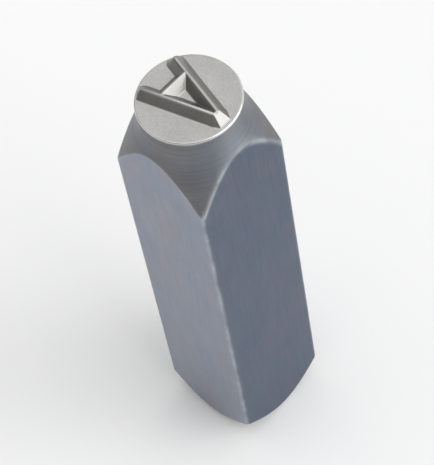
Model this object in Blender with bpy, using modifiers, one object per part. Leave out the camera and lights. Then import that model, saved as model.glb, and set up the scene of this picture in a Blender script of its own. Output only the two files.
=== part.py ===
"""Steel letter punch for stamping the letter A.

A length of square tool steel, turned to a round nose at one end and to a chamfer at the
other. The round end face is cut back around the letter, which is left standing on it as
narrow crests with sloping flanks. The letter is mirrored, so that it reads right when it
is stamped; an A is the same either way.

The punch stands on its struck end, whose middle is the origin. +Z runs up its axis to the
letter, the flats face along X and Y, and the top of the letter points to -Y.
"""

import math

import bpy
import bmesh
from mathutils import Matrix, Vector

MM = 0.001

# Square shank
BODY_SIDE = 12.5 * MM
CORNER_RADIUS = 0.5 * MM
OVERALL_LENGTH = 60.0 * MM

# Turned nose, measured down from the end face
FACE_DIAMETER = 11.2 * MM
FACE_EDGE_RADIUS = 0.25 * MM
NECK_LENGTH = 2.8 * MM
NECK_HALF_ANGLE = math.radians(2.0)
CONE_HALF_ANGLE = math.radians(24.5)
NOSE_BLEND_RADIUS = 8.0 * MM

# Struck end
STRUCK_FACE_DIAMETER = 10.5 * MM
STRUCK_EDGE_RADIUS = 0.5 * MM
STRUCK_CHAMFER_ANGLE = math.radians(40.0)

# Letter, with its height and widths taken over the crests, and its flanks' angles to
# the punch's axis; the toe is the longer flank at the apex, and it widens towards its foot
LETTER_HEIGHT = 8.0 * MM
LETTER_WIDTH = 5.2 * MM
LETTER_RELIEF = 1.0 * MM
APEX_WIDTH = 0.75 * MM
CREST_WIDTH = 0.28 * MM
CROSSBAR_RISE = 2.1 * MM
FLANK_ANGLE = math.radians(41.0)
TOE_ANGLE = math.radians(50.0)
TOE_FLARE = math.radians(17.5)
APEX_LAND = 0.2 * MM
RIM_LAND = 0.05 * MM

# How far the tools run past what they shape, and how deep the letter is rooted
STOCK_OVERRUN = 1.0 * MM
CREST_OVERRUN = 0.1 * MM
LETTER_ROOT = 0.5 * MM

# Facets
TURNED_FACETS = 128
CORNER_FACETS = 6
BLEND_FACETS = 8
EDGE_FACETS = 3
FLANK_FACETS = 24
FLAT_ANGLE = math.radians(0.1)
CREASE_ANGLE = math.radians(20.0)

STEEL_COLOUR = (0.38, 0.37, 0.36, 1.0)
STEEL_ROUGHNESS = 0.42

HALF_SIDE = BODY_SIDE / 2
CREST_Z = OVERALL_LENGTH
FACE_Z = OVERALL_LENGTH - LETTER_RELIEF


def clear_scene():
    """Remove every object, so that the punch is all there is."""
    for item in list(bpy.data.objects):
        bpy.data.objects.remove(item, do_unlink=True)


def new_collection(name):
    """A collection of this name, linked to the scene."""
    collection = bpy.data.collections.new(name)
    bpy.context.scene.collection.children.link(collection)
    return collection


def new_object(name, bm, collection):
    """An object that takes the bmesh, which is freed."""
    mesh = bpy.data.meshes.new(name)
    bm.to_mesh(mesh)
    bm.free()
    item = bpy.data.objects.new(name, mesh)
    collection.objects.link(item)
    return item


def new_tool(name, bm, collection):
    """An object that only cuts or joins, shown as a wire and left out of a render."""
    tool = new_object(name, bm, collection)
    tool.display_type = "WIRE"
    tool.hide_render = True
    return tool


def combine(item, tool, operation):
    """Add an exact Boolean of this operation with the tool."""
    modifier = item.modifiers.new(f"{operation.lower()} {tool.name}", "BOOLEAN")
    modifier.operation = operation
    modifier.object = tool
    modifier.solver = "EXACT"


def arc(centre, radius, start, end, count):
    """Points (r, z) on an arc from one angle to another, both ends included."""
    points = []
    for step in range(count + 1):
        angle = start + (end - start) * step / count
        r = centre[0] + radius * math.cos(angle)
        z = centre[1] + radius * math.sin(angle)
        points.append((r, z))
    return points


def edge_setback(edge_radius, side_angle):
    """How far a rounding starts inside the sharp edge of a level face."""
    return edge_radius * math.tan((math.pi / 2 - side_angle) / 2)


def rounded_edge(radius, face_z, edge_radius, side_angle):
    """Rounding from a level face into the side below it, which widens by side_angle."""
    centre = (radius - edge_setback(edge_radius, side_angle), face_z - edge_radius)
    return arc(centre, edge_radius, math.pi / 2, side_angle, EDGE_FACETS)


def nose_profile(outer_radius):
    """The nose from the axis down: face, rim, neck, blend and cone."""
    face_radius = FACE_DIAMETER / 2
    rim = rounded_edge(face_radius, FACE_Z, FACE_EDGE_RADIUS, NECK_HALF_ANGLE)

    # The neck and the cone meet at this corner, and the blend touches both of them.
    corner_r = face_radius + NECK_LENGTH * math.tan(NECK_HALF_ANGLE)
    corner_z = FACE_Z - NECK_LENGTH
    half_turn = (CONE_HALF_ANGLE - NECK_HALF_ANGLE) / 2
    room = (NECK_LENGTH - FACE_EDGE_RADIUS) / math.cos(NECK_HALF_ANGLE)
    reach = min(NOSE_BLEND_RADIUS * math.tan(half_turn), room)
    blend_radius = reach / math.tan(half_turn)
    down_neck = Vector((math.sin(NECK_HALF_ANGLE), -math.cos(NECK_HALF_ANGLE)))
    out_of_neck = Vector((math.cos(NECK_HALF_ANGLE), math.sin(NECK_HALF_ANGLE)))
    centre = Vector((corner_r, corner_z)) - down_neck * reach + out_of_neck * blend_radius
    first = math.pi + NECK_HALF_ANGLE
    last = math.pi + CONE_HALF_ANGLE
    blend = arc(centre, blend_radius, first, last, BLEND_FACETS)

    cone_end_z = corner_z - (outer_radius - corner_r) / math.tan(CONE_HALF_ANGLE)
    return [(0.0, FACE_Z)] + rim + blend + [(outer_radius, cone_end_z)]


def struck_end_profile(outer_radius):
    """The struck end from its chamfer down to the axis."""
    face_radius = STRUCK_FACE_DIAMETER / 2
    upright = rounded_edge(face_radius, 0.0, STRUCK_EDGE_RADIUS, STRUCK_CHAMFER_ANGLE)
    rim = [(r, -z) for r, z in reversed(upright)]
    chamfer_z = (outer_radius - face_radius) / math.tan(STRUCK_CHAMFER_ANGLE)
    return [(outer_radius, chamfer_z)] + rim + [(0.0, 0.0)]


def turned_blank(name, collection):
    """The punch as the lathe leaves it, wider than the bar between its worked ends."""
    outer_radius = HALF_SIDE * math.sqrt(2.0)
    profile = nose_profile(outer_radius) + struck_end_profile(outer_radius)
    bm = bmesh.new()
    verts = [bm.verts.new((r, 0.0, z)) for r, z in profile]
    for upper, lower in zip(verts, verts[1:]):
        bm.edges.new((upper, lower))
    blank = new_object(name, bm, collection)
    turn = blank.modifiers.new("turn", "SCREW")
    turn.axis = "Z"
    turn.angle = 2 * math.pi
    turn.steps = TURNED_FACETS
    turn.render_steps = TURNED_FACETS
    turn.use_merge_vertices = True
    turn.merge_threshold = 0.001 * MM
    return blank


def square_bar(collection):
    """The square stock with its rounded corners, running past both ends."""
    length = OVERALL_LENGTH + 2 * STOCK_OVERRUN
    bm = bmesh.new()
    bmesh.ops.create_cube(bm, size=1.0)
    bmesh.ops.scale(bm, vec=(BODY_SIDE, BODY_SIDE, length), verts=bm.verts)
    bmesh.ops.translate(bm, vec=(0.0, 0.0, OVERALL_LENGTH / 2), verts=bm.verts)
    corners = [edge for edge in bm.edges if edge.verts[0].co.xy == edge.verts[1].co.xy]
    bmesh.ops.bevel(
        bm,
        geom=corners,
        offset=CORNER_RADIUS,
        offset_type="OFFSET",
        segments=CORNER_FACETS,
        profile=0.5,
        affect="EDGES",
    )
    return new_tool("square_bar", bm, collection)


def stroke(name, crest, toe, collection):
    """A stroke of the letter: a level crest, with the flanks that a conical cutter leaves.

    crest holds the plan corners of the crest, and the flanks run round each of them as
    part of a cone. toe holds the plan points that a longer end flank reaches, if any.
    """
    root_z = FACE_Z - LETTER_ROOT
    flank_radius = (CREST_Z - root_z) * math.tan(FLANK_ANGLE)
    bm = bmesh.new()
    for corner in crest:
        bm.verts.new(corner.to_3d() + Vector((0.0, 0.0, CREST_Z)))
        place = Matrix.Translation(corner.to_3d() + Vector((0.0, 0.0, root_z)))
        bmesh.ops.create_circle(bm, segments=FLANK_FACETS, radius=flank_radius, matrix=place)
    for point in toe:
        bm.verts.new(point.to_3d() + Vector((0.0, 0.0, root_z)))
    hull = bmesh.ops.convex_hull(bm, input=bm.verts)
    inside = [item for item in hull["geom_interior"] if isinstance(item, bmesh.types.BMVert)]
    bmesh.ops.delete(bm, geom=inside, context="VERTS")
    bmesh.ops.dissolve_limit(bm, angle_limit=FLAT_ANGLE, verts=bm.verts, edges=bm.edges)
    return new_tool(name, bm, collection)


def crest_middle(y, middle_x, lean):
    """Distance of a leg's middle line from the letter's own middle line."""
    return middle_x + y * math.tan(lean)


def leg(name, side, lean, middle_x, collection):
    """One leg of the A, with its crest cut level at the foot and at the apex."""
    half_height = LETTER_HEIGHT / 2
    half_width = CREST_WIDTH / 2 / math.cos(lean)
    crest = []
    for y in (-half_height, half_height):
        for edge in (-half_width, half_width):
            crest.append(Vector((side * (crest_middle(y, middle_x, lean) + edge), y)))
    return stroke(name, crest, [], collection)


def apex(collection):
    """The short land that closes the two legs at the apex, with the toe below its edge."""
    top = -LETTER_HEIGHT / 2
    half_width = APEX_WIDTH / 2
    crest = []
    for x in (-half_width, half_width):
        for y in (top, top + APEX_LAND):
            crest.append(Vector((x, y)))
    toe_run = (LETTER_RELIEF + LETTER_ROOT) * math.tan(TOE_ANGLE)
    toe_reach = half_width + toe_run * math.tan(TOE_FLARE)
    toe = [Vector((x, top - toe_run)) for x in (-toe_reach, toe_reach)]
    return stroke("apex", crest, toe, collection)


def letter_a(collection):
    """The two legs, the apex and the crossbar, joined and trimmed to the round face."""
    lean = math.atan((LETTER_WIDTH - APEX_WIDTH) / 2 / LETTER_HEIGHT)
    crest_across = CREST_WIDTH / math.cos(lean)
    middle_x = (LETTER_WIDTH + APEX_WIDTH) / 4 - crest_across / 2
    letter = leg("left_leg", -1, lean, middle_x, collection)
    combine(letter, leg("right_leg", 1, lean, middle_x, collection), "UNION")
    combine(letter, apex(collection), "UNION")

    # The crossbar ends inside the legs, on the middles of their crests.
    bar_y = LETTER_HEIGHT / 2 - CROSSBAR_RISE
    bar_end = crest_middle(bar_y, middle_x, lean)
    crest = []
    for x in (-bar_end, bar_end):
        for edge in (-CREST_WIDTH / 2, CREST_WIDTH / 2):
            crest.append(Vector((x, bar_y + edge)))
    combine(letter, stroke("crossbar", crest, [], collection), "UNION")
    combine(letter, letter_blank(collection), "INTERSECT")
    return letter


def letter_blank(collection):
    """The round blank that the letter is cut from, a little smaller than the face."""
    bottom_z = FACE_Z - 2 * LETTER_ROOT
    top_z = CREST_Z + CREST_OVERRUN
    setback = edge_setback(FACE_EDGE_RADIUS, NECK_HALF_ANGLE)
    land_radius = FACE_DIAMETER / 2 - setback - RIM_LAND
    taper = math.tan(NECK_HALF_ANGLE)
    bm = bmesh.new()
    bmesh.ops.create_cone(
        bm,
        cap_ends=True,
        segments=TURNED_FACETS,
        radius1=land_radius + (FACE_Z - bottom_z) * taper,
        radius2=land_radius - (top_z - FACE_Z) * taper,
        depth=top_z - bottom_z,
    )
    bmesh.ops.translate(bm, vec=(0.0, 0.0, (top_z + bottom_z) / 2), verts=bm.verts)
    return new_tool("letter_blank", bm, collection)


def keep_result(item):
    """Give the object the mesh that its modifiers make, smooth up to its crisp edges."""
    depsgraph = bpy.context.evaluated_depsgraph_get()
    mesh = bpy.data.meshes.new_from_object(item.evaluated_get(depsgraph))
    mesh.name = item.name
    item.modifiers.clear()
    item.data = mesh
    mesh.shade_smooth()
    mesh.set_sharp_from_angle(angle=CREASE_ANGLE)


def tool_steel():
    """Bare satin steel."""
    material = bpy.data.materials.new("tool_steel")
    material.use_nodes = True
    shader = material.node_tree.nodes["Principled BSDF"]
    shader.inputs["Base Color"].default_value = STEEL_COLOUR
    shader.inputs["Metallic"].default_value = 1.0
    shader.inputs["Roughness"].default_value = STEEL_ROUGHNESS
    material.diffuse_color = STEEL_COLOUR
    return material


def build():
    """Turn the bar at both ends, and raise the letter on the face."""
    clear_scene()
    parts = new_collection("steel_letter_punch")
    tools = new_collection("cutters")
    punch = turned_blank("letter_punch", parts)
    combine(punch, square_bar(tools), "INTERSECT")
    combine(punch, letter_a(tools), "UNION")
    keep_result(punch)
    punch.data.materials.append(tool_steel())


build()
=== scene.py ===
"""The finished look of a steel letter punch: its surface, its steel, a floor, lights and a camera.

The punch is one closed surface. Its side is a turned profile trimmed by a rounded square, and its
end face is a height map of the letter. Lengths are worked out in millimetres and turned into
metres when the mesh is made. The punch stands on its struck end at the origin, with +Z to the
letter and the top of the letter to -Y, as the CAD part does.
"""

import math

import bpy
import numpy as np
from mathutils import Matrix, Vector


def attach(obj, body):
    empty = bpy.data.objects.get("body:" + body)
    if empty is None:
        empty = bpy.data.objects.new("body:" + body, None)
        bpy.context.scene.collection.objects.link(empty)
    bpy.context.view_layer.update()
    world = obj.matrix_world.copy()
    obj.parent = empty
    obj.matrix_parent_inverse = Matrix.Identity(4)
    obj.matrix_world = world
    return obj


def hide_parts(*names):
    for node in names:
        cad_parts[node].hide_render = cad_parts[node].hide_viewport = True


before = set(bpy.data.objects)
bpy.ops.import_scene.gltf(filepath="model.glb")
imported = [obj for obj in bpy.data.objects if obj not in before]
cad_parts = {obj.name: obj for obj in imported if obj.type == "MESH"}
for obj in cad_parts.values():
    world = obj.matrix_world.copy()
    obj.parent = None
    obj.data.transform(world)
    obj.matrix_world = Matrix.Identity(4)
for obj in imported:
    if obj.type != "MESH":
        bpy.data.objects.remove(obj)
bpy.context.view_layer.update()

MM = 0.001

# Shank, in mm
HALF_SIDE = 6.25
CORNER_RADIUS = 0.5
LENGTH = 60.0
EDGE_SOFTNESS = 0.08

# Turned nose, measured down from the end face
FACE_RADIUS = 5.6
RIM_RADIUS = 0.25
NECK_LENGTH = 2.8
NECK_ANGLE = math.radians(2.0)
CONE_ANGLE = math.radians(24.5)
BLEND_RADIUS = 8.0
CONE_OVERRUN = 1.0

# Struck end
STRUCK_RADIUS = 5.25
STRUCK_RIM_RADIUS = 0.5
CHAMFER_ANGLE = math.radians(40.0)

# Letter. The toe's softness is in mm, and the other three are shares of the relief.
LETTER_HEIGHT = 8.0
LETTER_WIDTH = 5.2
RELIEF = 1.0
APEX_WIDTH = 0.75
CREST_WIDTH = 0.28
APEX_BLOCK = 0.2
CROSSBAR_RISE = 2.1
CROSSBAR_Y = LETTER_HEIGHT / 2 - CROSSBAR_RISE
FLANK_ANGLE = math.radians(41.0)
TOE_ANGLE = math.radians(50.0)
TOE_FLARE = math.radians(17.5)
TOE_SOFTNESS = 0.05
CREST_SOFTNESS = 0.20
VALLEY_SOFTNESS = 0.09
FOOT_SOFTNESS = 0.10

# Round wall of the blank, which cuts the letter off at the rim. Its softness is a share too.
WALL_TOP = 5.16
WALL_FOOT = 5.31
WALL_SOFTNESS = 0.2

FACE_Z = LENGTH - RELIEF
OUTER_RADIUS = HALF_SIDE * math.sqrt(2.0)
EIGHTH = math.pi / 4

# Grids. The near rows lie round a crease, in steps of its softness down the side, and the parts
# on the turned side of them stop NEAR_MARGIN times as far from it. Between the GATHER_ROWS, the
# columns draw in to the corners of the square.
COLUMNS = 240
FACE_CELLS = 240
BLEND_POINTS = 160
RIM_ROWS = 10
NECK_ROWS = 25
NEAR_ROWS = np.array([-5.0, -3.0, -1.5, -1.1, -0.75, -0.4, 0.0, 0.4, 0.75, 1.1, 1.5, 3.0, 5.0])
NEAR_MARGIN = 1.25
SHANK_ROWS = 10
CHAMFER_ROWS = 5
DISC_ROWS = 10
CORNER_SHARE = 0.3
CORNER_SPAN = math.radians(3.4)
GATHER_ROWS = (8, 27)

# Masks of the finishes on the side. FLAT_EDGE is in mm, and FRONT_EDGE is a difference of a sine
# and a cosine. A band of wear and painted highlight has a level and a width in mm; round the upper
# crease it is brighter and wider on the front and the back, as painted highlight.
FLAT_EDGE = (-0.02, 0.03)
FRONT_EDGE = (-0.03, 0.03)
SIDE_ARC_LEVEL, SIDE_ARC_WIDTH = 0.45, 0.12
FRONT_ARC_LEVEL, FRONT_ARC_WIDTH = 0.90, 0.27
LOW_ARC_LEVEL, LOW_ARC_WIDTH = 0.75, 0.10
CORNER_LEVEL, CORNER_WIDTH = 0.7, 0.22
RIM_FADE_ROWS = 3
STRUCK_RIM_LEVEL = 0.8

# Masks of the finishes and painted highlights on the end face, from the share of the relief
# and the flank's direction
CUT_HEIGHTS = (0.015, 0.09)
CREST_HEIGHTS = (0.93, 0.985)
LIT_FLANK_FACING = (0.75, 0.95)
LIT_FLANK_ON_BAR = 0.45
BAR_CREST_Y = (0.34, 0.22)
BAR_CREST_X = (1.75, 1.55)
SLOPE_STEP = 0.01

MASKS = ("ground", "cut", "painted_lit_flank", "crest", "bar", "flat", "wear_and_highlight", "rim", "lap")


# ---------------------------------------------------------------- shapes

def soft_min(a, b, width):
    """The smaller of a and b, with their crossing rounded: min(a, b) - t^2 width / 4, where t is
    1 - |a - b| / width, and never below 0."""
    t = np.clip(1.0 - np.abs(a - b) / width, 0.0, 1.0)
    return np.minimum(a, b) - t * t * width / 4


def soft_max(a, b, width):
    """The larger of a and b with the same rounding."""
    return -soft_min(-a, -b, width)


def smooth_step(value, low, high):
    """0 at low and beyond it, 1 at high and beyond it, and t^2 (3 - 2t) between them. Low may be
    the larger of the two."""
    t = np.clip((value - low) / (high - low), 0.0, 1.0)
    return t * t * (3 - 2 * t)


def bell(distance, width):
    """exp(-(distance / width)^2)."""
    return np.exp(-(distance / width) ** 2)


def setback(radius, side_angle):
    """How far a rounding starts inside the sharp edge of a level face: radius tan(turn / 2),
    where turn is the right angle less the side's angle from upright."""
    return radius * math.tan((math.pi / 2 - side_angle) / 2)


def nose_curve():
    """Radius and depth of the turned nose below its rim, as dense rows of the neck line, the
    blend arc and the cone line. The arc touches both lines, BLEND_RADIUS from its centre."""
    corner_r = FACE_RADIUS + NECK_LENGTH * math.tan(NECK_ANGLE)
    reach = BLEND_RADIUS * math.tan((CONE_ANGLE - NECK_ANGLE) / 2)
    centre_r = corner_r - reach * math.sin(NECK_ANGLE) + BLEND_RADIUS * math.cos(NECK_ANGLE)
    centre_d = NECK_LENGTH - reach * math.cos(NECK_ANGLE) - BLEND_RADIUS * math.sin(NECK_ANGLE)
    turn = np.linspace(NECK_ANGLE, CONE_ANGLE, BLEND_POINTS)
    blend_r = centre_r - BLEND_RADIUS * np.cos(turn)
    blend_d = centre_d + BLEND_RADIUS * np.sin(turn)
    end_r = OUTER_RADIUS + CONE_OVERRUN
    end_d = blend_d[-1] + (end_r - blend_r[-1]) / math.tan(CONE_ANGLE)
    return np.r_[FACE_RADIUS, blend_r, end_r], np.r_[0.0, blend_d, end_d]


def square_radius(turn):
    """Distance from the axis to a rounded square in the direction turn. On a flat it is the half
    side over the larger of |cos| and |sin|, and on a corner it is where the ray leaves the
    corner's circle."""
    a = np.abs(np.cos(turn))
    b = np.abs(np.sin(turn))
    large = np.maximum(a, b)
    small = np.minimum(a, b)
    c = HALF_SIDE - CORNER_RADIUS
    inside = np.maximum((c * (a + b)) ** 2 - 2 * c * c + CORNER_RADIUS ** 2, 0.0)
    on_corner = HALF_SIDE * small / large > c
    return np.where(on_corner, c * (a + b) + np.sqrt(inside), HALF_SIDE / large)


def column_turns(gather):
    """Angle of each column. With gather 0 they are even, and with gather 1 a share of them is
    drawn to the corners of the square, on a grid of gather (rows) by column."""
    even = np.arange(COLUMNS) / COLUMNS * 2 * math.pi
    position = even / EIGHTH
    cell = np.floor(position)
    part = position - cell
    rising = cell % 2 == 0
    toward = np.where(rising, part, 1 - part)
    flat_share = 1 - CORNER_SHARE
    flat_turn = toward / flat_share * (EIGHTH - CORNER_SPAN)
    corner_turn = EIGHTH - (1 - toward) / CORNER_SHARE * CORNER_SPAN
    drawn = np.where(toward < flat_share, flat_turn, corner_turn)
    drawn = np.where(rising, cell * EIGHTH + drawn, (cell + 1) * EIGHTH - drawn)
    weight = gather[:, None]
    return even * (1 - weight) + drawn * weight


def rim_rows(radius, rim_radius, side_angle):
    """Radius and depth on a rim's quarter round, from its level face into its side, as columns
    of one value a row."""
    turn = np.linspace(math.pi / 2, side_angle, RIM_ROWS)[:, None]
    centre = radius - setback(rim_radius, side_angle)
    return centre + rim_radius * np.cos(turn), rim_radius * (1 - np.sin(turn))


def edge_masks(turn, square, lathe, below_crease, above_low):
    """The flats, and the wear of their edges, which is partly a painted highlight. The flats lie
    where the turned radius is larger than the square's. The wear and highlight is the largest of
    three bells: round the upper crease, the lower one and the flats' corners. Round the upper
    crease it is brighter and wider on the front and the back. The upper band keeps its width
    across the crease's arc, so downwards it is wider by hypot(1, slope), where slope is
    min(|cos|, |sin|) / tan(cone angle)."""
    flat = smooth_step(lathe - square, *FLAT_EDGE)
    cosine, sine = np.abs(np.cos(turn)), np.abs(np.sin(turn))
    front = smooth_step(sine - cosine, *FRONT_EDGE)
    steepness = np.hypot(1.0, np.minimum(cosine, sine) / math.tan(CONE_ANGLE))
    arc_level = SIDE_ARC_LEVEL + (FRONT_ARC_LEVEL - SIDE_ARC_LEVEL) * front
    arc_width = SIDE_ARC_WIDTH + (FRONT_ARC_WIDTH - SIDE_ARC_WIDTH) * front
    from_corner = EIGHTH * (1 - np.abs((turn / EIGHTH - 1) % 2 - 1)) * square
    wear_and_highlight = np.maximum.reduce([
        arc_level * bell(below_crease, arc_width * steepness),
        LOW_ARC_LEVEL * bell(above_low, LOW_ARC_WIDTH),
        CORNER_LEVEL * bell(from_corner, CORNER_WIDTH) * flat,
    ])
    return {"flat": flat, "wear_and_highlight": wear_and_highlight}


def side_surface():
    """The side of the punch as a grid of rows (down from the end face's edge to the struck
    end's middle) by columns (round the axis). Its radius is the soft minimum of the turned
    profile, the rounded square and the chamfer. The rows of each column close in on its two
    creases, where the square meets the turned profile and the chamfer. Returns x, y, z and the
    masks of the finishes. One of them is lap, the length along the profile in mm, which carries
    the turning marks."""
    nose_r, nose_d = nose_curve()
    rim_r, rim_d = rim_rows(FACE_RADIUS, RIM_RADIUS, NECK_ANGLE)
    low_r, low_d = rim_rows(STRUCK_RADIUS, STRUCK_RIM_RADIUS, CHAMFER_ANGLE)

    # Each part's places on its way down, and its rows
    neck_part = np.linspace(0, 1, NECK_ROWS + 1)[1:, None]
    near_part = NEAR_ROWS[:, None]
    shank_part = np.linspace(0, 1, SHANK_ROWS + 2)[1:-1, None]
    chamfer_part = np.linspace(0, 1, CHAMFER_ROWS + 1)[:-1, None]
    disc_part = np.linspace(1, 0, DISC_ROWS + 2)[1:-1, None]
    parts = [rim_r, neck_part, near_part, shank_part, near_part, chamfer_part, low_r, disc_part]
    stops = np.cumsum([len(part) for part in parts])
    top_rim, neck, upper, shank, lower, chamfer, low_rim, disc = (
        slice(stop - len(part), stop) for stop, part in zip(stops, parts))
    rows = stops[-1]

    turn = column_turns(smooth_step(np.arange(rows), *GATHER_ROWS))
    square = square_radius(turn)
    crease = np.interp(square, nose_r, nose_d)
    low_crease = FACE_Z - (square - STRUCK_RADIUS) / math.tan(CHAMFER_ANGLE)
    near_step = EDGE_SOFTNESS / math.tan(CONE_ANGLE)
    low_step = EDGE_SOFTNESS / math.tan(CHAMFER_ANGLE)
    near_reach = NEAR_ROWS[-1] * near_step
    low_reach = NEAR_ROWS[-1] * low_step

    depth = np.full((rows, COLUMNS), FACE_Z)
    depth[top_rim] = rim_d
    stop = crease[neck] - NEAR_MARGIN * near_reach
    depth[neck] = rim_d[-1] + (stop - rim_d[-1]) * neck_part
    depth[upper] = crease[upper] + near_part * near_step
    start = crease[shank] + near_reach
    stop = low_crease[shank] - low_reach
    depth[shank] = start + (stop - start) * shank_part
    depth[lower] = low_crease[lower] + near_part * low_step
    start = low_crease[chamfer] + NEAR_MARGIN * low_reach
    depth[chamfer] = start + (FACE_Z - low_d[-1] - start) * chamfer_part
    depth[low_rim] = FACE_Z - low_d[::-1]

    z = FACE_Z - depth
    turned = np.interp(depth, nose_d, nose_r)
    struck = STRUCK_RADIUS + z * math.tan(CHAMFER_ANGLE)
    radius = soft_min(soft_min(turned, square, EDGE_SOFTNESS), struck, EDGE_SOFTNESS)
    radius[top_rim] = rim_r
    radius[low_rim] = low_r[::-1]
    radius[disc] = low_r[0] * disc_part

    lathe = np.minimum(turned, struck)
    masks = edge_masks(turn, square, lathe, depth - crease, low_crease - depth)
    masks["rim"] = np.zeros((rows, COLUMNS))
    top_wear = smooth_step(np.arange(RIM_ROWS, 0, -1), 0, RIM_FADE_ROWS)
    masks["rim"][top_rim] = top_wear[:, None]
    low_wear = STRUCK_RIM_LEVEL * np.sin(np.linspace(0, math.pi, RIM_ROWS))
    masks["rim"][low_rim] = low_wear[:, None]
    masks["lap"] = depth + np.where(depth < FACE_Z / 2, radius, -radius)
    return radius * np.cos(turn), radius * np.sin(turn), z, masks


def polygon_distance(x, y, corners):
    """Signed distance to a convex polygon, negative inside: the least distance to its sides,
    with the sign of the largest of the distances to the sides' lines. Corners run
    anticlockwise."""
    nearest = np.full(x.shape, np.inf)
    outside = np.full(x.shape, -np.inf)
    for (ax, ay), (bx, by) in zip(corners, corners[1:] + corners[:1]):
        ex, ey = bx - ax, by - ay
        length = math.hypot(ex, ey)
        t = np.clip(((x - ax) * ex + (y - ay) * ey) / length ** 2, 0, 1)
        nearest = np.minimum(nearest, np.hypot(x - ax - t * ex, y - ay - t * ey))
        outside = np.maximum(outside, ((x - ax) * ey - (y - ay) * ex) / length)
    return np.where(outside > 0, nearest, -nearest)


def stroke_height(x, y, corners, toe=None):
    """Height of one stroke, as a share of the relief: 1 - reach / tan(flank angle), cut off at 1
    with a soft edge. Reach is the distance to the crest. Past the apex end, toe = (left, right,
    y) of that end, the reach is the larger of two facets: the toe's is along s, where s is
    tan(flank angle) / tan(toe angle), and its side's is along cos(t) + side sin(t), where t is
    the toe's flare + acos(s cos(flare))."""
    run = math.tan(FLANK_ANGLE)
    reach = polygon_distance(x, y, corners)
    if toe:
        left, right, end = toe
        lower = run / math.tan(TOE_ANGLE)
        sweep = TOE_FLARE + math.acos(lower * math.cos(TOE_FLARE))
        along = end - y
        side = np.maximum(np.maximum(x - right, left - x), 0.0)
        hip = along * math.cos(sweep) + side * math.sin(sweep)
        facet = soft_max(along * lower, hip, TOE_SOFTNESS)
        reach = np.where((along > 0) & (side < along * math.tan(sweep)), facet, reach)
    return soft_min(np.ones_like(x), 1 - reach / (RELIEF * run), CREST_SOFTNESS)


def block(left, right, low, high):
    """Corners of an upright rectangle, anticlockwise."""
    return [(left, low), (right, low), (right, high), (left, high)]


def letter_height(x, y):
    """Height of the letter above the ground of the end face, as a share of the relief: the soft
    maximum of its two legs, its crossbar and the block at its apex, cut by the round wall of the
    blank, and 0 at the ground."""
    half = LETTER_HEIGHT / 2
    lean = math.atan((LETTER_WIDTH - APEX_WIDTH) / 2 / LETTER_HEIGHT)
    across = CREST_WIDTH / math.cos(lean)
    middle = (LETTER_WIDTH + APEX_WIDTH) / 4 - across / 2
    top = middle - half * math.tan(lean)
    foot = middle + half * math.tan(lean)
    legs = []
    for side in (-1, 1):
        corners = [(side * top - across / 2, -half), (side * top + across / 2, -half),
                   (side * foot + across / 2, half), (side * foot - across / 2, half)]
        legs.append(stroke_height(x, y, corners))
    end = middle + CROSSBAR_Y * math.tan(lean)
    crest = CREST_WIDTH / 2
    bar = stroke_height(x, y, block(-end, end, CROSSBAR_Y - crest, CROSSBAR_Y + crest))
    apex = top + across / 2
    apex_block = block(-apex, apex, -half, APEX_BLOCK - half)
    toe = stroke_height(x, y, apex_block, (-apex, apex, -half))

    height = soft_max(legs[0], legs[1], VALLEY_SOFTNESS)
    height = soft_max(height, bar, VALLEY_SOFTNESS)
    height = soft_max(height, toe, VALLEY_SOFTNESS)
    wall = (WALL_FOOT - np.hypot(x, y)) / (WALL_FOOT - WALL_TOP)
    height = soft_min(np.minimum(height, 1.0), wall, WALL_SOFTNESS)
    return soft_max(height, np.zeros_like(x), FOOT_SOFTNESS)


def face_surface():
    """The end face as a square grid drawn onto a disc, ring for ring: the grid's square of half
    side r becomes the circle of radius r, with its points spread evenly round it. The height is
    the letter's. Returns x, y, z and the masks of the finishes and painted highlights."""
    steps = np.linspace(-1, 1, FACE_CELLS + 1)
    a, b = np.meshgrid(steps, steps, indexing="ij")
    wide = np.abs(a) > np.abs(b)
    safe_a = np.where(a == 0, 1.0, a)
    safe_b = np.where(b == 0, 1.0, b)
    r = np.where(wide, a, b)
    turn = np.where(wide, EIGHTH * b / safe_a, math.pi / 2 - EIGHTH * a / safe_b)
    edge = FACE_RADIUS - setback(RIM_RADIUS, NECK_ANGLE)
    x = edge * r * np.cos(turn)
    y = edge * r * np.sin(turn)
    height = letter_height(x, y)
    z = FACE_Z + RELIEF * height

    # The flanks that rise towards +Y, the crossbar's near flank and the toe, face the light; their
    # lighter colour is a painted highlight.
    crest = smooth_step(height, *CREST_HEIGHTS)
    off_ground = smooth_step(height, *CUT_HEIGHTS)
    cut = off_ground * (1 - crest)
    rise_x = letter_height(x + SLOPE_STEP, y) - height
    rise_y = letter_height(x, y + SLOPE_STEP) - height
    facing = rise_y / np.maximum(np.hypot(rise_x, rise_y), 1e-6)
    painted_lit_flank = cut * smooth_step(facing, *LIT_FLANK_FACING) * np.where(y > 0, LIT_FLANK_ON_BAR, 1.0)
    # The crossbar's crest is painted lighter: a painted highlight.
    on_bar = smooth_step(np.abs(y - CROSSBAR_Y), *BAR_CREST_Y)
    bar = crest * on_bar * smooth_step(np.abs(x), *BAR_CREST_X)
    masks = {"ground": 1 - off_ground, "cut": cut, "painted_lit_flank": painted_lit_flank, "crest": crest, "bar": bar}
    return x, y, z, masks


def face_points():
    """Numbers of the face grid's points, as the grid."""
    side = FACE_CELLS + 1
    return np.arange(side * side).reshape(side, side)


def face_boundary():
    """Numbers of the face grid's outer points, anticlockwise from the angle 0."""
    points = face_points()
    ring = np.r_[points[-1, :-1], points[:0:-1, -1], points[0, :0:-1], points[:-1, 0]]
    return np.roll(ring, -(FACE_CELLS // 2))


def quads(a, b, c, d):
    """Four-cornered faces from four arrays of point numbers."""
    return np.stack([a, b, c, d], axis=-1).reshape(-1, 4)


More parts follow.
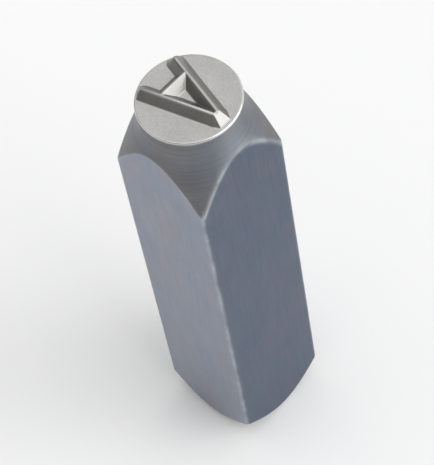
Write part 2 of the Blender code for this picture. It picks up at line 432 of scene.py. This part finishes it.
def punch_mesh():
    """One closed mesh: the face grid, a ring of seven-cornered faces that takes four face cells
    to one column, the side grid, and a fan of triangles at the middle of the struck face."""
    fx, fy, fz, face_masks = face_surface()
    sx, sy, sz, side_masks = side_surface()

    # The side's first row lies on the face's edge, so its points start one row lower.
    on_side = np.stack([sx, sy, sz], -1)[1:]
    side = fx.size + np.arange(on_side[..., 0].size).reshape(on_side.shape[:2])
    middle = side[-1, -1] + 1
    points = np.concatenate([
        np.stack([fx, fy, fz], -1).reshape(-1, 3),
        on_side.reshape(-1, 3),
        np.zeros((1, 3)),
    ]) * MM

    cell = face_points()
    following = np.roll(side, -1, axis=1)
    ring = face_boundary()
    per_column = len(ring) // COLUMNS
    starts = np.arange(COLUMNS)[:, None] * per_column
    steps = (starts + np.arange(per_column, -1, -1)) % len(ring)
    groups = [
        quads(cell[:-1, :-1], cell[1:, :-1], cell[1:, 1:], cell[:-1, 1:]),
        np.concatenate([ring[steps], side[0][:, None], following[0][:, None]], axis=1),
        quads(side[:-1], side[1:], following[1:], following[:-1]),
        np.stack([side[-1], np.full(COLUMNS, middle), following[-1]], -1),
    ]
    sizes = np.concatenate([np.full(len(group), group.shape[1]) for group in groups])
    corners = np.concatenate([group.ravel() for group in groups])

    mesh = bpy.data.meshes.new("letter_punch_finished")
    mesh.vertices.add(len(points))
    mesh.vertices.foreach_set("co", points.astype(np.float32).ravel())
    mesh.loops.add(len(corners))
    mesh.loops.foreach_set("vertex_index", corners.astype(np.int32))
    mesh.polygons.add(len(sizes))
    mesh.polygons.foreach_set("loop_start", np.r_[0, np.cumsum(sizes)[:-1]].astype(np.int32))
    mesh.update(calc_edges=True)
    mesh.validate()

    for name in MASKS:
        face_part = face_masks.get(name, np.zeros_like(fx)).ravel()
        side_part = side_masks.get(name, np.zeros_like(sx))[1:].ravel()
        values = np.r_[face_part, side_part, side_part[-1]].astype(np.float32)
        mesh.attributes.new(name, "FLOAT", "POINT").data.foreach_set("value", values)
    mesh.shade_smooth()
    return mesh


# ---------------------------------------------------------------- steel

class Nodes:
    """A material's node tree, built a node at a time. A value is a number or an output."""

    def __init__(self, name):
        self.material = bpy.data.materials.new(name)
        self.material.use_nodes = True
        self.tree = self.material.node_tree
        self.shader = self.tree.nodes["Principled BSDF"]

    def put(self, socket, value):
        """Links an output to the socket, or sets a number on it."""
        if isinstance(value, bpy.types.NodeSocket):
            self.tree.links.new(value, socket)
        else:
            socket.default_value = value

    def add(self, kind, inputs=(), **settings):
        """A new node of this kind, with its settings and its inputs by name or number."""
        node = self.tree.nodes.new("ShaderNode" + kind)
        for key, value in settings.items():
            setattr(node, key, value)
        for key, value in dict(inputs).items():
            self.put(node.inputs[key], value)
        return node

    def mask(self, name):
        """One of the mesh's masks."""
        return self.add("Attribute", attribute_name=name).outputs["Fac"]

    def math(self, operation, a, b=0.0, c=0.0, clamp=False):
        """A sum on up to three values."""
        inputs = {0: a, 1: b, 2: c}
        return self.add("Math", inputs, operation=operation, use_clamp=clamp).outputs[0]

    def scaled(self, colour, by):
        """A colour made lighter or darker."""
        inputs = {0: colour, "Scale": by}
        return self.add("VectorMath", inputs, operation="SCALE").outputs[0]

    def blend(self, share, first, second):
        """From the first colour at share 0 to the second at 1. A Mix node keeps its colours at
        inputs 6 and 7 and at output 2."""
        return self.add("Mix", {0: share, 6: first, 7: second}, data_type="RGBA").outputs[2]

    def between(self, share, first, second):
        """From the first number at share 0 to the second at 1. They are at inputs 2 and 3."""
        return self.add("Mix", {0: share, 2: first, 3: second}, data_type="FLOAT").outputs[0]

    def noise(self, vector, scale, detail, roughness):
        """Cloudy noise. Three scales in place of one draw it out along an axis."""
        if isinstance(scale, tuple):
            vector = self.add("Mapping", {"Vector": vector, "Scale": scale}).outputs["Vector"]
            scale = 1.0
        inputs = {"Vector": vector, "Scale": scale, "Detail": detail, "Roughness": roughness}
        return self.add("TexNoise", inputs).outputs["Fac"]

    def ranged(self, value, limits, ends=(0.0, 1.0)):
        """The value's place between its limits, carried to the ends."""
        inputs = {"Value": value, "From Min": limits[0], "From Max": limits[1],
                  "To Min": ends[0], "To Max": ends[1]}
        return self.add("MapRange", inputs).outputs["Result"]


# Colours of the end face and the worn edges, some of them painted highlights
GROUND_STEEL = (0.555, 0.549, 0.532, 1.0)
CUT_STEEL = (0.264, 0.258, 0.240, 1.0)
# The flanks that face the light: a painted highlight
PAINTED_LIT_FLANK_STEEL = (0.37, 0.366, 0.355, 1.0)
CREST_STEEL = (0.54, 0.533, 0.518)
# The crossbar's crest: a painted highlight
BAR_CREST_HIGHLIGHT = (0.80, 0.795, 0.785, 1.0)
# Worn edges, partly a painted highlight
WEAR_AND_HIGHLIGHT_STEEL = (0.42, 0.45, 0.48, 1.0)
RIM_STEEL = (0.64, 0.64, 0.63, 1.0)

# Colours of the nose: two tints, and two more towards the middle of the front and the back
NOSE_WARM = (0.185, 0.178, 0.182, 1.0)
NOSE_COOL = (0.165, 0.175, 0.198, 1.0)
# Towards the front and the back: a painted bluish reflection, then a painted highlight
NOSE_TURN_REFLECTION = (0.170, 0.186, 0.208, 1.0)
NOSE_FRONT_HIGHLIGHT = (0.250, 0.275, 0.302, 1.0)

# Colours of the flats: two tints and a patch, on the sides and on the front and the back
SIDE_FLAT = ((0.266, 0.284, 0.340, 1.0), (0.236, 0.273, 0.344, 1.0), (0.284, 0.280, 0.328, 1.0))
# Front and back flats, darker and bluer: painted shade and a painted bluish reflection
FRONT_FLAT_PAINTED_SHADE = ((0.114, 0.136, 0.184, 1.0), (0.100, 0.131, 0.187, 1.0), (0.124, 0.134, 0.182, 1.0))

# Ranges of |y| - |x|, and of the crests' fade, in metres
FRONT_TURN = (0.0003, 0.0026)
FRONT_MIDDLE = (0.0026, 0.0052)
FLATS_MEET = (-0.0002, 0.0002)
CREST_LENGTH = (-0.0035, 0.0035)
CREST_FADE = (1.35, 0.70)
LEGS_MEET = (-0.0003, 0.0003)

# Scale of the turning marks, per metre across the axis and per mm of lap
LATHE_SPREAD, LATHE_STEP = 90.0, 9.0

# Each noise's scale, detail and roughness. The rings' scales are shares of the lathe's, and the
# others are per metre.
RINGS = (1.0, 4.0, 0.7)
FINE_RINGS = ((1.0, 1.0, 3.2), 2.0, 0.6)
GRAIN = ((7000.0, 7000.0, 180.0), 3.0, 0.65)
CUTTER = ((2600.0, 2600.0, 600.0), 3.0, 0.6)
SPECKLE = (5200.0, 4.0, 0.7)
CLOUD = ((420.0, 420.0, 230.0), 3.0, 0.55)
PATCH = (380.0, 3.0, 0.5)
TINT = ((160.0, 160.0, 90.0), 2.0, 0.5)

# The part of a noise's range that counts, and what it does to the shade and the roughness
TINT_RANGE = (0.35, 0.65)
CLOUD_RANGE = (0.5, 0.68)
WEAR_HIGHLIGHT_RANGE, WEAR_HIGHLIGHT_SHARE = (0.34, 0.62), (0.45, 1.0)
MARK_RANGE, MARK_SHADE, MARK_ROUGHNESS = (0.25, 0.75), (0.86, 1.14), (0.05, -0.05)
PATCH_RANGE, PATCH_SHADE, PATCH_ROUGHNESS = (0.3, 0.7), (0.93, 1.07), (-0.03, 0.03)
GRAIN_CONTRAST = 0.55
CUT_CONTRAST = 0.4

NOSE_ROUGHNESS = 0.44
FLAT_ROUGHNESS = 0.38
GROUND_ROUGHNESS = 0.42
CUT_ROUGHNESS = 0.36
POLISHED_ROUGHNESS = 0.28

BUMP_STRENGTH = 0.55
BUMP_DISTANCE = 0.00003
FINE_RING_RELIEF = 0.5
GRAIN_RELIEF = 0.6
GROUND_RELIEF = 0.55
CUTTER_RELIEF = 0.45
CREST_RELIEF = 0.15


def tool_steel():
    """Bare tool steel: a satin ground end face, darker cut flanks, a turned nose with fine
    rings, flats with a lengthwise grain and soft patches of tint, and bright worn edges. Painted
    highlights lighten the flanks that face the light, the crossbar's crest, the middle of the
    nose's front and back and, in part, the worn edges. The front and back flats carry painted
    shade and a painted bluish reflection, and the nose towards them a painted bluish reflection."""
    m = Nodes("tool_steel_finished")
    ground, cut, painted_lit_flank, crest, bar, flat, wear_and_highlight, rim, lap = (m.mask(name) for name in MASKS)
    here = m.add("TexCoord").outputs["Object"]
    x, y, _ = m.add("SeparateXYZ", {"Vector": here}).outputs

    # Turning marks run round the axis at each step of the profile.
    lathe = m.add("CombineXYZ", {
        "X": m.math("MULTIPLY", x, LATHE_SPREAD),
        "Y": m.math("MULTIPLY", y, LATHE_SPREAD),
        "Z": m.math("MULTIPLY", lap, LATHE_STEP),
    }).outputs["Vector"]
    rings = m.noise(lathe, *RINGS)
    fine_rings = m.noise(lathe, *FINE_RINGS)
    grain = m.noise(here, *GRAIN)
    cutter = m.noise(here, *CUTTER)
    speckle = m.noise(here, *SPECKLE)
    cloud = m.ranged(m.noise(here, *CLOUD), CLOUD_RANGE)
    patch = m.noise(here, *PATCH)
    tint = m.ranged(m.noise(here, *TINT), TINT_RANGE)

    # The nose and the flats. Towards the front and the back the nose gets a painted bluish
    # reflection and a painted highlight, and the flats a painted shade and a painted bluish
    # reflection.
    to_front = m.math("SUBTRACT", m.math("ABSOLUTE", y), m.math("ABSOLUTE", x))
    nose = m.blend(tint, NOSE_WARM, NOSE_COOL)
    nose = m.blend(m.ranged(to_front, FRONT_TURN), nose, NOSE_TURN_REFLECTION)
    nose = m.blend(m.ranged(to_front, FRONT_MIDDLE), nose, NOSE_FRONT_HIGHLIGHT)
    side_flats, front_flats_painted_shade = (
        m.blend(cloud, m.blend(tint, first, second), third)
        for first, second, third in (SIDE_FLAT, FRONT_FLAT_PAINTED_SHADE))
    # The front and back flats take the painted shade and bluish reflection.
    flats = m.blend(m.ranged(to_front, FLATS_MEET), side_flats, front_flats_painted_shade)
    steel = m.blend(flat, nose, flats)

    # The end face. The crest of the leg at -X is brighter towards the apex.
    steel = m.blend(ground, steel, GROUND_STEEL)
    steel = m.blend(cut, steel, CUT_STEEL)
    # The flanks that face the light are painted lighter: a painted highlight.
    steel = m.blend(painted_lit_flank, steel, PAINTED_LIT_FLANK_STEEL)
    fade = m.ranged(y, CREST_LENGTH, CREST_FADE)
    fade = m.between(m.ranged(x, LEGS_MEET), fade, 1.0)
    steel = m.blend(crest, steel, m.scaled(CREST_STEEL, fade))
    # The crossbar's crest is painted lighter still: a painted highlight.
    steel = m.blend(bar, steel, BAR_CREST_HIGHLIGHT)

    # The worn edges, lighter partly as wear and partly as a painted highlight
    worn_and_highlight = m.math("MULTIPLY", wear_and_highlight, m.ranged(patch, WEAR_HIGHLIGHT_RANGE, WEAR_HIGHLIGHT_SHARE))
    steel = m.blend(worn_and_highlight, steel, WEAR_AND_HIGHLIGHT_STEEL)
    steel = m.blend(rim, steel, RIM_STEEL)

    # Fine marks lighten and darken the steel a little. Less contrast keeps their middle at 0.5.
    soft_grain = m.math("MULTIPLY_ADD", grain, GRAIN_CONTRAST, (1 - GRAIN_CONTRAST) / 2)
    soft_speckle = m.math("MULTIPLY_ADD", speckle, CUT_CONTRAST, (1 - CUT_CONTRAST) / 2)
    on_face = m.math("ADD", ground, m.math("ADD", cut, crest), clamp=True)
    marks = m.between(on_face, m.between(flat, rings, soft_grain), speckle)
    marks = m.between(cut, marks, soft_speckle)
    shade = m.math("MULTIPLY", m.ranged(marks, MARK_RANGE, MARK_SHADE),
                   m.ranged(patch, PATCH_RANGE, PATCH_SHADE))
    m.put(m.shader.inputs["Base Color"], m.scaled(steel, shade))
    m.shader.inputs["Metallic"].default_value = 1.0

    polished = m.math("MAXIMUM", m.math("MAXIMUM", crest, worn_and_highlight), rim)
    rough = m.between(flat, NOSE_ROUGHNESS, FLAT_ROUGHNESS)
    rough = m.between(ground, rough, GROUND_ROUGHNESS)
    rough = m.between(cut, rough, CUT_ROUGHNESS)
    rough = m.between(polished, rough, POLISHED_ROUGHNESS)
    rough = m.math("ADD", rough, m.ranged(marks, MARK_RANGE, MARK_ROUGHNESS))
    rough = m.math("ADD", rough, m.ranged(patch, PATCH_RANGE, PATCH_ROUGHNESS))
    m.put(m.shader.inputs["Roughness"], rough)

    turned = m.math("MULTIPLY_ADD", fine_rings, FINE_RING_RELIEF, rings)
    relief = m.between(flat, turned, m.math("MULTIPLY", grain, GRAIN_RELIEF))
    relief = m.between(ground, relief, m.math("MULTIPLY", speckle, GROUND_RELIEF))
    relief = m.between(cut, relief, m.math("MULTIPLY", cutter, CUTTER_RELIEF))
    relief = m.between(crest, relief, m.math("MULTIPLY", speckle, CREST_RELIEF))
    bump = m.add("Bump", {"Strength": BUMP_STRENGTH, "Distance": BUMP_DISTANCE, "Height": relief})
    m.put(m.shader.inputs["Normal"], bump.outputs["Normal"])
    return m.material


# ---------------------------------------------------------------- stage

FLOOR_HALF = 4.0
FLOOR_COLOUR = (0.92, 0.92, 0.92, 1.0)
FLOOR_ROUGHNESS = 0.9
FLOOR_SPECULAR = 0.1

# Place on the way up the room, and level there
ROOM_LEVELS = [(0.0, 0.84), (0.08, 0.78), (0.18, 0.20), (0.48, 0.24), (0.66, 0.92), (1.0, 1.0)]
LIT_SIDE = (0.90, -0.43, 0.05)
LIT_SIDE_START = 0.25
LIT_SIDE_END = 0.92
LIT_SIDE_LEVEL = 0.75

# Name, energy, width in degrees, and place in mm
SUNS = [
    ("front_right_sun", 0.9, 52, (240, -760, 620)),
    ("low_right_sun", 0.9, 40, (680, -700, 210)),
]

CAMERA_PLACE = (-80.7, -105.8, 239.4)
CAMERA_TARGET = (0.0, 0.0, 33.5)
CAMERA_ROLL = math.radians(-12.0)
CAMERA_LENS = 172.0
CAMERA_SENSOR = 36.0
CAMERA_CLIP = (0.01, 50.0)


def floor_material():
    """A plain pale sheet."""
    m = Nodes("pale_floor")
    m.shader.inputs["Base Color"].default_value = FLOOR_COLOUR
    m.shader.inputs["Roughness"].default_value = FLOOR_ROUGHNESS
    m.shader.inputs["Specular IOR Level"].default_value = FLOOR_SPECULAR
    return m.material


def lay_floor():
    """A level square, twice FLOOR_HALF wide in metres, under the struck end."""
    corners = block(-FLOOR_HALF, FLOOR_HALF, -FLOOR_HALF, FLOOR_HALF)
    mesh = bpy.data.meshes.new("floor")
    mesh.from_pydata([(x, y, 0) for x, y in corners], [], [(0, 1, 2, 3)])
    mesh.materials.append(floor_material())
    floor = bpy.data.objects.new("floor", mesh)
    bpy.context.scene.collection.objects.link(floor)


def studio_world():
    """A pale band at the horizon, a dimmer room above it, a pale ceiling, and one lighter side of
    the room at the front on the right. The level is ramp(z) + LIT_SIDE_LEVEL s, where s goes from
    0 to 1 as the direction's share of LIT_SIDE goes from LIT_SIDE_START to LIT_SIDE_END."""
    world = bpy.data.worlds.new("studio")
    bpy.context.scene.world = world
    world.use_nodes = True
    tree = world.node_tree
    coordinate = tree.nodes.new("ShaderNodeTexCoord")
    split = tree.nodes.new("ShaderNodeSeparateXYZ")
    ramp = tree.nodes.new("ShaderNodeValToRGB")
    facing = tree.nodes.new("ShaderNodeVectorMath")
    side = tree.nodes.new("ShaderNodeMapRange")
    level = tree.nodes.new("ShaderNodeMath")
    facing.operation = "DOT_PRODUCT"
    facing.inputs[1].default_value = LIT_SIDE
    side.interpolation_type = "SMOOTHSTEP"
    side.inputs["From Min"].default_value = LIT_SIDE_START
    side.inputs["From Max"].default_value = LIT_SIDE_END
    side.inputs["To Max"].default_value = LIT_SIDE_LEVEL
    level.operation = "ADD"
    level.use_clamp = True
    tree.links.new(coordinate.outputs["Generated"], split.inputs[0])
    tree.links.new(coordinate.outputs["Generated"], facing.inputs[0])
    tree.links.new(split.outputs["Z"], ramp.inputs[0])
    tree.links.new(facing.outputs["Value"], side.inputs["Value"])
    tree.links.new(ramp.outputs[0], level.inputs[0])
    tree.links.new(side.outputs[0], level.inputs[1])
    tree.links.new(level.outputs[0], tree.nodes["Background"].inputs[0])
    stops = ramp.color_ramp
    stops.interpolation = "B_SPLINE"
    while len(stops.elements) < len(ROOM_LEVELS):
        stops.elements.new(0.5)
    for element, (position, shade) in zip(stops.elements, ROOM_LEVELS):
        element.position = position
        element.color = (shade, shade, shade, 1.0)


def hang_suns():
    """A broad soft sun from the front on the right, and a lower one from farther right. Each
    shines from its place towards the origin."""
    for name, energy, width, place in SUNS:
        light = bpy.data.lights.new(name, "SUN")
        light.energy = energy
        light.angle = math.radians(width)
        sun = bpy.data.objects.new(name, light)
        sun.location = Vector(place) * MM
        sun.rotation_mode = "QUATERNION"
        sun.rotation_quaternion = Vector(place).to_track_quat("Z", "Y")
        bpy.context.scene.collection.objects.link(sun)


def photo_camera():
    """The camera stands where the photograph's did, is rolled as it was, and is turned to the
    punch with a longer lens. Its right is turned from level towards its up by the roll."""
    data = bpy.data.cameras.new("camera")
    data.lens = CAMERA_LENS
    data.sensor_width = CAMERA_SENSOR
    data.clip_start, data.clip_end = CAMERA_CLIP
    camera = bpy.data.objects.new("camera", data)
    bpy.context.scene.collection.objects.link(camera)
    forward = (Vector(CAMERA_TARGET) - Vector(CAMERA_PLACE)).normalized()
    level = forward.cross(Vector((0, 0, 1))).normalized()
    up = level.cross(forward)
    right = math.cos(CAMERA_ROLL) * level + math.sin(CAMERA_ROLL) * up
    top = math.cos(CAMERA_ROLL) * up - math.sin(CAMERA_ROLL) * level
    turn = Matrix((right, top, -forward)).transposed().to_4x4()
    camera.matrix_world = Matrix.Translation(Vector(CAMERA_PLACE) * MM) @ turn
    bpy.context.scene.camera = camera


# ---------------------------------------------------------------- scene

mesh = punch_mesh()
mesh.materials.append(tool_steel())
punch = bpy.data.objects.new("letter_punch_finished", mesh)
bpy.context.scene.collection.objects.link(punch)
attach(punch, "root")
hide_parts("letter_punch")

lay_floor()
studio_world()
hang_suns()
photo_camera()
bpy.context.scene.view_settings.view_transform = "Standard"
